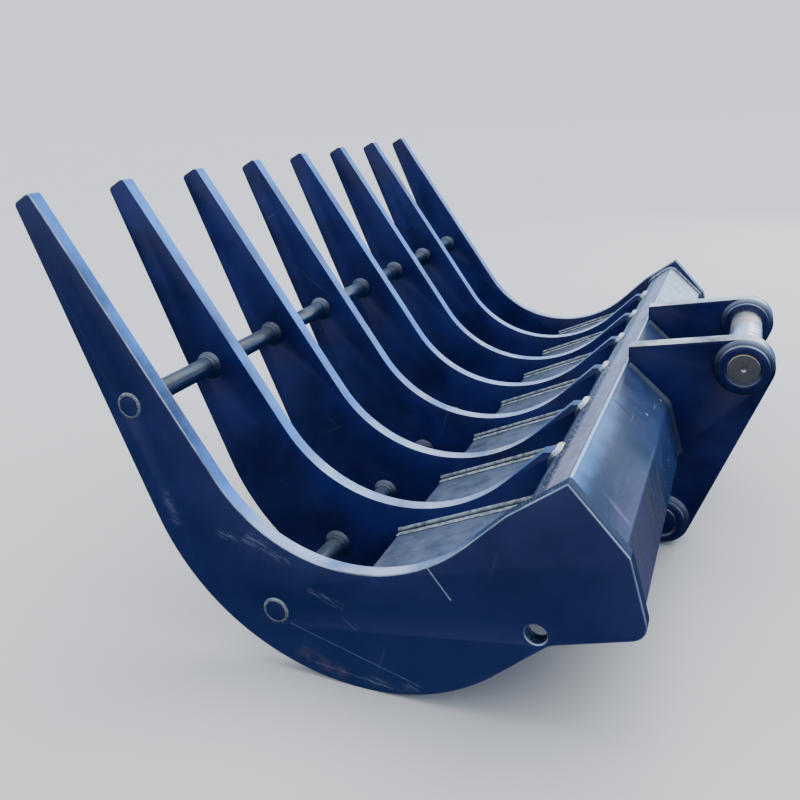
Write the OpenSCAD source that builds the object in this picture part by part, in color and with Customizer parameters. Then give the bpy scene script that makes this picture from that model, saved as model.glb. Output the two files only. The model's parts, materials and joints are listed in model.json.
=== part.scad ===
/* [Tines] */
// Number of tines
tine_count = 8; // [8:1:8]
// Distance from one tine to the next
tine_pitch = 260; // [250:1:320]
// Thickness of a tine's plate
tine_t = 30; // [20:1:36]
// Radius of the hollow that holds the load
hollow_r = 300; // [260:1:340]
// Radius of the back, from the straight arm down to the sole
back_r = 440; // [400:1:450]
// Radius of the heel, from the sole up to the beam
heel_r = 354; // [310:1:400]
// Length of the flat sole that a tine stands on
sole_flat = 6; // [4:1:30]
// Width of the square-cut tip
tip_w = 42; // [30:1:60]
// Radius of the tip's two corners
tip_r = 9; // [3:1:14]

/* [Tie bars] */
// Diameter of the two tie bars
bar_d = 40; // [25:1:50]
// How far a weld collar reaches out from its bar
collar_leg = 9; // [4:1:14]
// How far a tie bar's end stands out of the end tine
bar_proud = 2; // [1:1:5]
// Height of the weld ring round a tie bar's end
ring_h = 3; // [2:1:5]

/* [Box beam] */
// How far the beam's plates lie inside the end tines' outline
skin_inset = 13; // [9:1:18]
// How far the ridge lies inside the end tines' back edge
ridge_inset = 24; // [14:1:32]
// Thickness of the ridge, rear and bottom plates
skin_t = 16; // [8:1:20]
// Width of the ridge plate's top, from the ridge to its front bend
ridge_w = 95; // [84:1:112]
// Outer radius of the bend along the front of the ridge plate
front_bend_r = 42; // [30:1:50]
// Outer radius of the ridge itself, where the ridge plate turns down to the rear plate
ridge_bend_r = 20; // [17:1:26]
// Outer radius of the bend along the back of the rear plate
rear_bend_r = 26; // [22:1:34]
// How far an inner tine's hook laps onto the ridge plate
hook_lap = 28; // [20:1:40]
// Thickness of the ribs inside the beam
rib_t = 20; // [10:1:30]
// Thickness of the floor plates between the tines
floor_t = 16; // [8:1:20]
// Leg of the weld along each side of a floor plate
floor_weld = 10; // [5:1:14]

/* [Ears] */
// Clear width between the two ears
ear_gap = 340; // [310:1:380]
// Thickness of an ear's plate
ear_t = 45; // [30:1:55]
// Radius of the round ends of an ear
lobe_r = 60; // [58:1:66]
// Distance between the axes of the stick pin and the link pin
pin_spacing = 395; // [385:1:410]
// Outer diameter of a boss
boss_d = 100; // [92:1:104]
// How far a boss stands out of the ear on the outside
boss_out = 20; // [12:1:30]
// How far a boss stands out of the ear on the inside
boss_in = 15; // [11:1:25]
// Leg of the weld round a boss
boss_weld = 9; // [5:1:10]

/* [Pins] */
// Diameter of both pins
pin_d = 70; // [60:1:75]
// Radial clearance of a pin in its boss
pin_fit = 0.08; // [0.05:0.01:0.1]
// How deep the plain end of a pin lies inside its boss
pin_sunk = 2; // [1:1:5]
// Chamfer on the plain end of a pin
pin_chamfer = 4; // [2:1:6]
// Thickness of the flag on the keeper end of a pin
flag_t = 12; // [8:1:16]
// Space between a flag and the end of its boss
flag_clear = 3; // [1:0.5:6]
// Diameter of a keeper bolt
keeper_d = 16; // [12:1:20]
// Distance from a pin's axis to its keeper bolt
keeper_arm = 92; // [88:1:100]
// Outer diameter of a keeper block
block_d = 44; // [36:1:48]

/* [End holes] */
// Diameter of the lifting hole in each end tine
lift_d = 35; // [24:1:38]

/* [Hidden] */

$fn = 64;
// Steps along a round corner, up to and above the radius that counts as large
large_r = 100;
small_steps = 10;
large_steps = 28;
// How far a cutter runs past the face that it cuts
over = 1;
// Radial gap of a welded bar or boss in its hole
weld_gap = 0.05;

paint = [0.05, 0.12, 0.33];
shade = [0.09, 0.19, 0.43];
dusty = [0.40, 0.48, 0.64];
weld = [0.55, 0.60, 0.70];
steel = [0.74, 0.76, 0.80];

// Width over the end tines
rake_w = (tine_count - 1) * tine_pitch + tine_t;

// The side view is measured from the stick pin's axis: x towards the machine, z up
stick = [0, 0];
link = pin_spacing * [cos(111.5), -sin(111.5)];
// The soles are level with the bottom of the ears, so the rake stands on both
sole_z = link[1] - lobe_r;
// The flat sole starts under the middle of the back's curve
sole_start = [-575, sole_z];
tip_in = [-1183, 445];
crest = [-316, -49];
apex = [-224, 18];
bend = [-132, -87];
rear_low = [-99, -216];
upper_bar = [-1015, 58];
lower_bar = [-739, -307];
floor_front = [-598, -256];
ear_nose = [-230, 28];
// How far the ears' lower edge starts behind the beam's front plate
ear_toe = 8;
// Angles of the tip's cut and of the straight edges, from level
tip_cut = 28;
inner_lean = 56.4;
crest_slope = 44.1;
heel_slope = 41.6;
flat_slope = 17;
floor_slope = 22.7;
// Radii of an end tine's small corners
corner_r = 28;
neck_r_most = 50;
apex_r = 3;
bend_r = 6;

function unit(a) = [cos(a), sin(a)];
function left(p) = [-p[1], p[0]];
function xy(p) = [p[0], p[1]];
function towards(a, b) = (xy(b) - xy(a)) / norm(xy(b) - xy(a));
function angle_of(p) = atan2(p[1], p[0]);
function cross2(a, b) = a[0] * b[1] - a[1] * b[0];
// Where the line through p along u meets the line through q along v
function meet(p, u, q, v) = p + u * cross2(q - p, v) / cross2(u, v);
// Corner b of a clockwise outline a, b, c, moved inside by d
function inset(a, b, c, d) =
    let (u = towards(a, b), v = towards(b, c))
    meet(b - left(u) * d, u, b - left(v) * d, v);
// Where a line from p touches the circle round c, on the left (1) or the right (-1)
function touch(p, c, r, side) =
    let (d = norm(c - p), u = (c - p) / d, reach = sqrt(d * d - r * r))
    p + reach * (u * reach / d + side * left(u) * r / d);

// Corners of a tine that follow from its straight edges
hollow = meet(crest, unit(crest_slope), tip_in, unit(-inner_lean));
tip_out = tip_in - tip_w * unit(tip_cut);
back_end = touch(tip_out, sole_start + [0, back_r], back_r, -1);
back_foot = meet(tip_out, towards(tip_out, back_end), sole_start, [1, 0]);
sole_end = sole_start + [sole_flat, 0];
heel_foot = sole_end + [heel_r * tan(heel_slope / 2), 0];
neck = meet(heel_foot, unit(heel_slope), rear_low, unit(flat_slope));
lift_hole = neck + [-21, 16];

// Corners of the beam's outer face, clockwise
ridge_line = meet(crest - left(towards(crest, apex)) * skin_inset, towards(crest, apex),
                  apex - left(towards(apex, bend)) * ridge_inset, towards(apex, bend));
front_top = ridge_line + towards(apex, crest) * ridge_w;
low_line = inset(bend, rear_low, neck, skin_inset);
front_foot = meet(low_line, unit(flat_slope), lift_hole + [lift_d / 2 + 16, 0], [0, 1]);
BEAM = [front_foot, front_top, ridge_line, inset(apex, bend, rear_low, skin_inset), low_line];
foot_drop = meet(front_foot, [0, 1], rear_low, unit(flat_slope));
// The fillet at the neck takes at most the room on its two sides
neck_room = min(norm(neck - heel_foot) - heel_r * tan(heel_slope / 2), norm(foot_drop - neck));
neck_r = min(neck_r_most, 0.95 * neck_room / tan((heel_slope - flat_slope) / 2));
// One of those corners, moved inside by d
function beam_corner(i, d) = inset(BEAM[(i + 4) % 5], BEAM[i], BEAM[(i + 1) % 5], d);

// Each outline runs clockwise, as [x, z, corner radius]
ARM_OUTLINE = [
    [neck[0], neck[1], neck_r], [heel_foot[0], heel_foot[1], heel_r],
    [back_foot[0], back_foot[1], back_r], [tip_out[0], tip_out[1], tip_r],
    [tip_in[0], tip_in[1], tip_r], [hollow[0], hollow[1], hollow_r]
];
END_OUTLINE = concat([
    [crest[0], crest[1], 0], [apex[0], apex[1], apex_r], [bend[0], bend[1], bend_r],
    [rear_low[0], rear_low[1], corner_r]
], ARM_OUTLINE);
hook_toe = front_top + towards(crest, apex) * hook_lap;
beam_mid = (BEAM[0] + BEAM[1] + BEAM[2] + BEAM[4]) / 4;
INNER_OUTLINE = concat([
    [crest[0], crest[1], 0], [hook_toe[0], hook_toe[1], 0], [beam_mid[0], beam_mid[1], 0],
    [front_foot[0], front_foot[1], 0], [foot_drop[0], foot_drop[1], 0]
], ARM_OUTLINE);

// Places across the rake: the middle is y = 0, and the near side is negative
function tine_y(i) = -rake_w / 2 + i * tine_pitch;
beam_half = rake_w / 2 - tine_t;
ear_in = ear_gap / 2;
ear_out = ear_in + ear_t;
boss_end = ear_out + boss_out;
flag_y = boss_end + flag_clear;

// Points along the circle round c, from angle a0 to a1
function arc(c, r, a0, a1, steps) =
    [for (k = [0 : steps]) xy(c) + r * unit(a0 + (a1 - a0) * k / steps)];
// A corner b between a and c, rounded by the radius that it carries
function rounded_corner(a, b, c) =
    let (
        u = towards(b, a),
        v = towards(b, c),
        half = acos(u * v) / 2,
        middle = xy(b) + (u + v) / norm(u + v) * b[2] / sin(half),
        out = (90 - half) * sign(cross2(u, v)),
        facing = atan2(-u[1] - v[1], -u[0] - v[0])
    )
    b[2] > 0 ? arc(middle, b[2], facing + out, facing - out, b[2] > large_r ? large_steps : small_steps)
        : [xy(b)];
function rounded(points) =
    let (n = len(points))
    [for (i = [0 : n - 1])
        each rounded_corner(points[(i + n - 1) % n], points[i], points[(i + 1) % n])];

// Points round one of the beam's corners, moved inside by d
BEAM_BENDS = [0, front_bend_r, ridge_bend_r, rear_bend_r, 0];
function beam_bend(i, d) =
    let (b = beam_corner(i, d))
    rounded_corner(beam_corner((i + 4) % 5, d),
                   [b[0], b[1], BEAM_BENDS[i] > 0 ? BEAM_BENDS[i] - d : 0],
                   beam_corner((i + 1) % 5, d));

// A side view given a width, from y0 to y1
module slab(y0, y1) {
    translate([0, y1, 0]) rotate([90, 0, 0]) linear_extrude(y1 - y0) children();
}

// A round bar or a cone along Y, from y0 to y1
module rod(place, d, y0, y1) {
    taper(place, d, d, y0, y1);
}
module taper(place, d0, d1, y0, y1) {
    translate([place[0], y0, place[1]]) rotate([-90, 0, 0])
        cylinder(d1 = d0, d2 = d1, h = y1 - y0);
}

// Tines
module tine(i) {
    is_end = i == 0 || i == tine_count - 1;
    y = tine_y(i);
    color(i % 2 == 0 ? paint : shade) difference() {
        slab(y, y + tine_t) difference() {
            polygon(rounded(is_end ? END_OUTLINE : INNER_OUTLINE));
            if (!is_end) beam_outline(0);
        }
        rod(upper_bar, bar_d + 2 * weld_gap, y - over, y + tine_t + over);
        rod(lower_bar, bar_d + 2 * weld_gap, y - over, y + tine_t + over);
        if (is_end) rod(lift_hole, lift_d, y - over, y + tine_t + over);
    }
}

// Tie bars and their welds
module tie_bar(place) {
    color(shade) rod(place, bar_d, -rake_w / 2 - bar_proud, rake_w / 2 + bar_proud);
}

module bar_collars(place) {
    foot_d = bar_d + 2 * collar_leg;
    color(weld) difference() {
        union() {
            for (i = [0 : tine_count - 1]) {
                if (i > 0)
                    taper(place, bar_d + 2, foot_d, tine_y(i) - collar_leg, tine_y(i));
                if (i < tine_count - 1)
                    taper(place, foot_d, bar_d + 2, tine_y(i) + tine_t,
                          tine_y(i) + tine_t + collar_leg);
            }
            taper(place, foot_d - 2 * ring_h, foot_d, -rake_w / 2 - ring_h, -rake_w / 2);
            taper(place, foot_d, foot_d - 2 * ring_h, rake_w / 2, rake_w / 2 + ring_h);
        }
        rod(place, bar_d + 2 * weld_gap, -rake_w, rake_w);
    }
}

// Box beam
module beam_outline(d) {
    polygon([for (i = [0 : 4]) each beam_bend(i, d)]);
}

// One face of a plate from corner a to corner b, from the middle of a bend to the middle of a bend
function plate_face(a, b, d) =
    let (first = beam_bend(a, d), last = beam_bend(b % 5, d))
    concat(
        [for (k = [floor(len(first) / 2) : len(first) - 1]) first[k]],
        [for (i = [a + 1 : 1 : b - 1]) each beam_bend(i, d)],
        [for (k = [0 : floor(len(last) / 2)]) last[k]]
    );

// The plate between two of the beam's corners, mitred there, and bent at the corner between them
module beam_plate(a, b) {
    inner = plate_face(a, b, skin_t);
    color(dusty) slab(-beam_half, beam_half)
        polygon(concat(plate_face(a, b, 0), [for (k = [len(inner) - 1 : -1 : 0]) inner[k]]));
}

module ridge_plate() { beam_plate(0, 2); }
module rear_plate() { beam_plate(2, 4); }
module bottom_plate() { beam_plate(4, 5); }

module beam_rib(side) {
    y = side * (ear_in + ear_t / 2);
    color(paint) slab(y - rib_t / 2, y + rib_t / 2) beam_outline(skin_t);
}

// Floor plates between the tines, and the welds along them
module floor_plate(i) {
    u = unit(floor_slope);
    length = norm(beam_mid - floor_front);
    color(dusty) slab(tine_y(i) + tine_t, tine_y(i + 1)) difference() {
        polygon([floor_front, floor_front + u * length,
                 floor_front + u * length - left(u) * floor_t, floor_front - left(u) * floor_t]);
        beam_outline(0);
    }
}

module floor_welds() {
    back = meet(floor_front, unit(floor_slope), front_foot, towards(front_foot, front_top));
    run = norm(back - floor_front) - 1.5 * floor_weld;
    color(weld)
        for (i = [0 : tine_count - 2])
            for (side = [1, -1])
                translate([floor_front[0], side > 0 ? tine_y(i) + tine_t : tine_y(i + 1),
                           floor_front[1]])
                    rotate([0, -floor_slope, 0]) rotate([90, 0, 90])
                        linear_extrude(run)
                            polygon([[0, 0], [side * floor_weld, 0], [0, floor_weld]]);
}

// Ears
module ear(side) {
    y = side > 0 ? ear_in : -ear_out;
    rear = angle_of(left(towards(stick, link)));
    toe = front_foot + [ear_toe, 0];
    top = angle_of(touch(ear_nose, stick, lobe_r, 1) - stick);
    low = angle_of(touch(toe, link, lobe_r, -1) - link);
    color(shade) difference() {
        slab(y, y + ear_t) polygon(concat(
            arc(stick, lobe_r, top, rear, large_steps),
            arc(link, lobe_r, rear, low, large_steps),
            [toe, beam_mid, [ear_nose[0], beam_mid[1]], ear_nose]
        ));
        slab(y - over, y + ear_t + over) beam_outline(0);
        rod(stick, boss_d + 2 * weld_gap, y - over, y + ear_t + over);
        rod(link, boss_d + 2 * weld_gap, y - over, y + ear_t + over);
    }
}

// A boss through an ear, with its weld on both faces
module boss(place, side) {
    foot_d = boss_d + 2 * boss_weld;
    color(paint) mirror([0, side > 0 ? 0 : 1, 0]) difference() {
        union() {
            rod(place, boss_d, ear_in - boss_in, boss_end);
            taper(place, foot_d, boss_d, ear_out, ear_out + boss_weld);
            taper(place, boss_d, foot_d, ear_in - boss_weld, ear_in);
        }
        rod(place, pin_d + 2 * pin_fit, ear_in - boss_in - over, boss_end + over);
    }
}

// Pins and their keepers
function keeper(place) =
    let (other = place == stick ? link : stick) place + towards(place, other) * keeper_arm;

module keeper_block(place) {
    color(paint) difference() {
        rod(keeper(place), block_d, ear_out, flag_y - weld_gap);
        rod(keeper(place), keeper_d + 2 * pin_fit, ear_out - over, flag_y + over);
    }
}

module pin(place) {
    plain_end = -boss_end + pin_sunk;
    color(steel) difference() {
        union() {
            taper(place, pin_d - 2 * pin_chamfer, pin_d, plain_end, plain_end + pin_chamfer);
            rod(place, pin_d, plain_end + pin_chamfer, flag_y);
        }
        taper(place, 10, 0, plain_end, plain_end + 5);
    }
}

module pin_flag(place) {
    pin_r = pin_d / 2 + 4;
    tab_r = keeper_d / 2 + 14;
    bolt = keeper(place);
    u = towards(place, bolt);
    lean = asin((pin_r - tab_r) / keeper_arm);
    along = u * sin(lean);
    across = left(u) * cos(lean);
    color(steel) difference() {
        union() {
            rod(place, 2 * pin_r, flag_y, flag_y + flag_t);
            rod(bolt, 2 * tab_r, flag_y, flag_y + flag_t);
            slab(flag_y, flag_y + flag_t)
                polygon([place + (along + across) * pin_r, bolt + (along + across) * tab_r,
                         bolt + (along - across) * tab_r, place + (along - across) * pin_r]);
        }
        rod(bolt, keeper_d + 1.5, flag_y - over, flag_y + flag_t + over);
    }
}

module keeper_washer(place) {
    y = flag_y + flag_t;
    color(steel) difference() {
        rod(keeper(place), keeper_d * 1.9, y, y + 3);
        rod(keeper(place), keeper_d + 1, y - over, y + 3 + over);
    }
}

module keeper_bolt(place) {
    y = flag_y + flag_t + 3;
    color(steel) {
        rod(keeper(place), keeper_d, ear_out + 3, y);
        taper(keeper(place), keeper_d * 1.73, keeper_d * 1.73, y, y + keeper_d * 0.62, $fn = 6);
    }
}

for (i = [0 : tine_count - 1])
    tine(i);
for (i = [0 : tine_count - 2])
    floor_plate(i);
floor_welds();
tie_bar(upper_bar);  // upper_tie_bar
tie_bar(lower_bar);  // lower_tie_bar
bar_collars(upper_bar);  // upper_bar_collars
bar_collars(lower_bar);  // lower_bar_collars
ridge_plate();
rear_plate();
bottom_plate();
beam_rib(-1);  // beam_rib_near
beam_rib(1);  // beam_rib_far
ear(-1);  // ear_near
ear(1);  // ear_far
boss(stick, -1);  // stick_boss_near
boss(stick, 1);  // stick_boss_far
boss(link, -1);  // link_boss_near
boss(link, 1);  // link_boss_far
keeper_block(stick);  // stick_keeper_block
keeper_block(link);  // link_keeper_block
pin(stick);  // stick_pin
pin_flag(stick);  // stick_pin_flag
keeper_washer(stick);  // stick_keeper_washer
keeper_bolt(stick);  // stick_keeper_bolt
pin(link);  // link_pin
pin_flag(link);  // link_pin_flag
keeper_washer(link);  // link_keeper_washer
keeper_bolt(link);  // link_keeper_bolt
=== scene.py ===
# %% [markdown]
# # A root rake for an excavator
# Eight thick plates, cut to the same hooked outline, stand side by side on a welded box beam.
# Two round bars tie them together, and two ears behind the beam take the pins of the machine.
# The imported model gives every plate, bar and pin at its real size and place. Added here is what
# a welder and a painter leave behind: eased edges, rippled weld beads, paint and dust. Some of the
# paint also carries painted highlights, a painted sheen and painted shade.

# %% Load the imported model
import json
import math

import bpy
from mathutils import Matrix, Vector, geometry, noise


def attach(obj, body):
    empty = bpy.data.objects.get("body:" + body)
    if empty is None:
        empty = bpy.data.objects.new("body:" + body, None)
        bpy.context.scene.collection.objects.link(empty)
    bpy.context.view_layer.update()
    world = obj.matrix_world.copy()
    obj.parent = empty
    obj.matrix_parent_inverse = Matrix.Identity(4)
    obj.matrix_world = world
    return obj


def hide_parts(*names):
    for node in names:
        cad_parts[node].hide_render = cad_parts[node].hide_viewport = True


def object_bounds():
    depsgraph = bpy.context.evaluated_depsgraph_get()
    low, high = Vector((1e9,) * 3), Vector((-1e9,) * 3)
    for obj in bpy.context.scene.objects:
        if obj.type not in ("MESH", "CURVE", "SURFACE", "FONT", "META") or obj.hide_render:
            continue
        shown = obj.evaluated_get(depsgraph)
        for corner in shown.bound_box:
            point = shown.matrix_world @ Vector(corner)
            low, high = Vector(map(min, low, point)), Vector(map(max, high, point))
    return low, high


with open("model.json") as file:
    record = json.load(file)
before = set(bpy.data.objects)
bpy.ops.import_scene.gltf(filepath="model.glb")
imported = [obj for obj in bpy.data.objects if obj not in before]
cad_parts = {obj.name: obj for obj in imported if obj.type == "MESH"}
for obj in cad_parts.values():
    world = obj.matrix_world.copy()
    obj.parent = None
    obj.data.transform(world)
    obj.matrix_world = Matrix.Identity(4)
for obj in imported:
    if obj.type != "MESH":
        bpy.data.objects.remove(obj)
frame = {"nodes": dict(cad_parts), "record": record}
cad_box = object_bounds()
record = frame["record"]
body_of = {node: body for body, nodes in record["behaviour"]["bodies"].items() for node in nodes}
print("nodes:", len(frame["nodes"]), "box:", [[round(v, 3) for v in corner] for corner in cad_box])

# %% [markdown]
# ## The camera
# The rake is seen from a little above and from its near end. It stands off the middle of the
# picture, so the lens is shifted, because a turned camera would change the angles of the plates.

# %% Set up the camera
CAMERA_AT = Vector((-0.0110, -2.0779, 0.5608))
CAMERA_RIGHT = Vector((0.90719, 0.41747, -0.05231))
CAMERA_UP = Vector((-0.07026, 0.27290, 0.95948))
LENS_MM = 38.3
SHIFT = (0.0625, -0.0591)

bpy.ops.object.camera_add(location=CAMERA_AT)
camera = bpy.context.object
camera.name = "photo_camera"
right = CAMERA_RIGHT.normalized()
back = right.cross(CAMERA_UP).normalized()
up = back.cross(right)
turned = Matrix((right, up, back)).transposed().to_4x4()
camera.matrix_world = Matrix.Translation(CAMERA_AT) @ turned
camera.data.lens = LENS_MM
camera.data.shift_x, camera.data.shift_y = SHIFT
bpy.context.scene.camera = camera
print("camera:", LENS_MM, "mm, shifted by", SHIFT)

# %% [markdown]
# ## Nodes in short lines
# A material is a tree of nodes. One helper adds a node and sets or links its inputs, and a few
# more name the sums that come back in every finish. They find their tree by their first socket.

# %% Helpers that add nodes
MIX_SHARE, MIX_A, MIX_B = 0, 6, 7
MIX_COLOUR = 2


def add(tree, kind, inputs=None, **settings):
    made = tree.nodes.new(kind)
    for key, value in settings.items():
        setattr(made, key, value)
    for key, value in (inputs or {}).items():
        if isinstance(value, bpy.types.NodeSocket):
            tree.links.new(value, made.inputs[key])
        else:
            made.inputs[key].default_value = value
    return made


def tree_of(*values):
    """A socket knows the tree that it is in."""
    return next(value.id_data for value in values if isinstance(value, bpy.types.NodeSocket))


def maths(operation, a, b=0.0):
    made = add(tree_of(a, b), "ShaderNodeMath", {0: a, 1: b}, operation=operation)
    return made.outputs[0]


def plus(a, b):
    return maths("ADD", a, b)


def times(first, *others):
    product = first
    for other in others:
        product = maths("MULTIPLY", product, other)
    return product


def ramp(value, low, high):
    """0 at low and 1 at high, with a soft step between. High may be the smaller number."""
    inputs = {"Value": value, "From Min": low, "From Max": high}
    made = add(value.id_data, "ShaderNodeMapRange", inputs, interpolation_type="SMOOTHSTEP")
    return made.outputs["Result"]


def blend(share, a, b):
    """Colour a where share is 0 and colour b where it is 1."""
    a, b = (c if isinstance(c, bpy.types.NodeSocket) else (*c, 1) for c in (a, b))
    inputs = {MIX_SHARE: share, MIX_A: a, MIX_B: b}
    return add(share.id_data, "ShaderNodeMix", inputs, data_type="RGBA").outputs[MIX_COLOUR]


print("a mix of two colours uses sockets", MIX_A, "and", MIX_B)

# %% [markdown]
# ## Places and patterns
# A finish has to know where on the object it is and which way the surface looks. The patterns
# are noise, read at the object's own coordinates, so they stay on the steel when a pin slides.

# %% Helpers that read the surface


def object_place(tree):
    return add(tree, "ShaderNodeTexCoord").outputs["Object"]


def split(vector):
    return add(vector.id_data, "ShaderNodeSeparateXYZ", {0: vector}).outputs


def facing_way(tree):
    return split(add(tree, "ShaderNodeTexCoord").outputs["Normal"])


def stretched(vector, scale, turn=(0, 0, 0)):
    """The place turned first and scaled after, so that streaks can lie at a slant."""
    turn = [math.radians(a) for a in turn]
    turned = add(vector.id_data, "ShaderNodeMapping", {"Vector": vector, "Rotation": turn})
    inputs = {"Vector": turned.outputs[0], "Scale": scale}
    return add(vector.id_data, "ShaderNodeMapping", inputs).outputs[0]


def speckle(vector, scale=1.0, detail=2.0, rough=0.5):
    inputs = {"Vector": vector, "Scale": scale, "Detail": detail, "Roughness": rough}
    return add(vector.id_data, "ShaderNodeTexNoise", inputs).outputs["Fac"]


def patches(vector, edge, **kind):
    """Speckle with a soft cut, so that it is 0 in some places and 1 in others."""
    return ramp(speckle(vector, **kind), *edge)


def ragged_ramp(value, edge, depth, vector, **kind):
    """A ramp whose border is pushed about by speckle."""
    push = times(speckle(vector, **kind), depth)
    return ramp(plus(value, push), *edge)


def here(tree):
    """The place on the object, as one vector and as its X, Y and Z."""
    spot = object_place(tree)
    return spot, split(spot)


print("a pattern's scale counts its patches per metre")

# %% Start a material, and wire its surface


def new_material(name):
    material = bpy.data.materials.new(name)
    material.use_nodes = True
    return material, material.node_tree, material.node_tree.nodes["Principled BSDF"]


def wire(tree, shader, colour, roughness, height, bump):
    tree.links.new(colour, shader.inputs["Base Color"])
    tree.links.new(roughness, shader.inputs["Roughness"])
    bumpy = add(tree, "ShaderNodeBump", {"Height": height, **bump})
    tree.links.new(bumpy.outputs[0], shader.inputs["Normal"])


print("materials:", len(bpy.data.materials))

# %% [markdown]
# ## The studio
# A pale floor runs out to a pale background. The paint must still look deep navy, as it does
# outdoors, so the gloss sees a sky with a bright band behind the rake and a dark ground, and not
# the white floor. The camera itself sees a plain backdrop, about as bright as the lit floor.

# %% Lay the floor
FLOOR_Z = cad_box[0][2]
FLOOR_SIZE = 60.0
FLOOR_TONE = (0.785, 0.787, 0.792)
FLOOR_CLOUDS = [0.985 * c for c in FLOOR_TONE]
FLOOR_CLOUD_EDGE = (0.3, 0.7)
FLOOR_ROUGHNESS = 0.9

stone, tree, shader = new_material("pale_floor")
shader.inputs["Roughness"].default_value = FLOOR_ROUGHNESS
cloudy = patches(object_place(tree), FLOOR_CLOUD_EDGE, scale=3.0, detail=4.0)
tree.links.new(blend(cloudy, FLOOR_TONE, FLOOR_CLOUDS), shader.inputs["Base Color"])

bpy.ops.mesh.primitive_plane_add(size=FLOOR_SIZE, location=(0, 0, FLOOR_Z))
floor = bpy.context.object
floor.name = "studio_floor"
floor.data.materials.append(stone)
floor.visible_glossy = False
print("floor at", round(FLOOR_Z, 4))

# %% Hang the sky
BACKDROP_TONE = (1.12, 1.20, 1.32)
GROUND_TONE = (0.010, 0.016, 0.035)
LOW_SKY = (0.62, 0.70, 0.84)
HIGH_SKY = (1.02, 1.08, 1.16)
BRIGHT_BAND = (1.05, 1.65, 2.75)
# How far up, or behind the rake, a way points where each part of the sky starts and is full
HORIZON = (-0.12, 0.10)
UPPER_SKY = (0.15, 0.75)
BAND_FOOT = (-0.16, -0.02)
BAND_TOP = (0.45, 0.12)
BEHIND_RAKE = (-0.10, 0.75)

world = bpy.data.worlds.new("studio_sky")
bpy.context.scene.world = world
world.use_nodes = True
sky = world.node_tree
sky.nodes.clear()
aim = split(add(sky, "ShaderNodeTexCoord").outputs["Generated"])
dome = blend(ramp(aim["Z"], *HORIZON), GROUND_TONE, LOW_SKY)
dome = blend(ramp(aim["Z"], *UPPER_SKY), dome, HIGH_SKY)
band_foot = ramp(aim["Z"], *BAND_FOOT)
band_top = ramp(aim["Z"], *BAND_TOP)
behind = ramp(aim["Y"], *BEHIND_RAKE)
dome = blend(times(band_foot, band_top, behind), dome, BRIGHT_BAND)
seen = add(sky, "ShaderNodeLightPath").outputs["Is Camera Ray"]
glow = add(sky, "ShaderNodeBackground", {"Color": blend(seen, dome, BACKDROP_TONE)})
sky.links.new(glow.outputs[0], add(sky, "ShaderNodeOutputWorld").inputs["Surface"])
print("sky nodes:", len(sky.nodes))

# %% Place the lamps
OVERCAST_AT = (0.6, 1.4, 3.2)
OVERCAST_WAY = Vector((-0.45, -0.75, -2.2))
OVERCAST_STRENGTH = 1.7
OVERCAST_SPREAD = math.radians(70)
FAR_LIGHT_AT = Vector((1.6, 4.2, 1.9))
FAR_LIGHT_TARGET = Vector((-0.4, 0, 0))
FAR_LIGHT_WATTS = 60
FAR_LIGHT_SIZE = 2.4
FAR_LIGHT_TONE = (0.85, 0.92, 1.0)


def lamp(kind, name, at, way, energy):
    """A lamp that shines along a way."""
    bpy.ops.object.light_add(type=kind, location=at)
    light = bpy.context.object
    light.name = name
    light.data.energy = energy
    light.rotation_euler = way.to_track_quat("-Z", "Y").to_euler()
    return light.data


overcast = lamp("SUN", "overcast_light", OVERCAST_AT, OVERCAST_WAY, OVERCAST_STRENGTH)
overcast.angle = OVERCAST_SPREAD
far_light_way = FAR_LIGHT_TARGET - FAR_LIGHT_AT
far_light = lamp("AREA", "far_light", FAR_LIGHT_AT, far_light_way, FAR_LIGHT_WATTS)
far_light.size = FAR_LIGHT_SIZE
far_light.color = FAR_LIGHT_TONE

# %% [markdown]
# ## Effects that several finishes share
# Rain and use leave the same marks on every painted plate: dust and chalking on the faces that look
# up, hair scratches where brush dragged along, and the fine orange peel of sprayed paint. On some
# paints the same up-facing mask carries a painted sheen and painted highlights instead. Each is a
# node group, built once, with its own inputs, and placed in every material that needs it.

# %% Start a group, and place it in a material
NUMBER = "NodeSocketFloat"
PLACE = "NodeSocketVector"


def new_group(name, inputs, outputs):
    tree = bpy.data.node_groups.new(name, "ShaderNodeTree")
    for socket, kind in inputs:
        tree.interface.new_socket(socket, in_out="INPUT", socket_type=kind)
    for socket in outputs:
        tree.interface.new_socket(socket, in_out="OUTPUT", socket_type=NUMBER)
    return tree, add(tree, "NodeGroupInput").outputs, add(tree, "NodeGroupOutput").inputs


def use(tree, group, **inputs):
    made = add(tree, "ShaderNodeGroup", node_tree=bpy.data.node_groups[group])
    for key, value in inputs.items():
        made.inputs[key.replace("_", " ")].default_value = value
    return made.outputs


print("group sockets carry", NUMBER, "or", PLACE)

# %% Faces that look up, for dust, chalking and painted sheen, broken up by clouds
CLOUD_EDGE = (0.22, 0.70)

tree, given, out = new_group(
    "top_dust_and_sheen", [("From", NUMBER), ("To", NUMBER), ("Size", NUMBER)], ["Mask"])
level = ramp(facing_way(tree)["Z"], given["From"], given["To"])
cloud = patches(object_place(tree), CLOUD_EDGE, scale=given["Size"], detail=6.0, rough=0.62)
tree.links.new(times(level, cloud), out["Mask"])
print("top_dust_and_sheen nodes:", len(tree.nodes))

# %% Long thin scratches in three directions, in patches
# Turn in degrees, and scale along X, Y and Z
SCRATCH_WAYS = [
    ((0, 28, 0), (3, 3, 190)),
    ((0, -38, 12), (4, 5, 240)),
    ((0, 74, 0), (2, 3, 160)),
]
SCRATCH_EDGE = (0.70, 0.76)
PATCH_EDGE = (0.50, 0.68)

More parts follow.
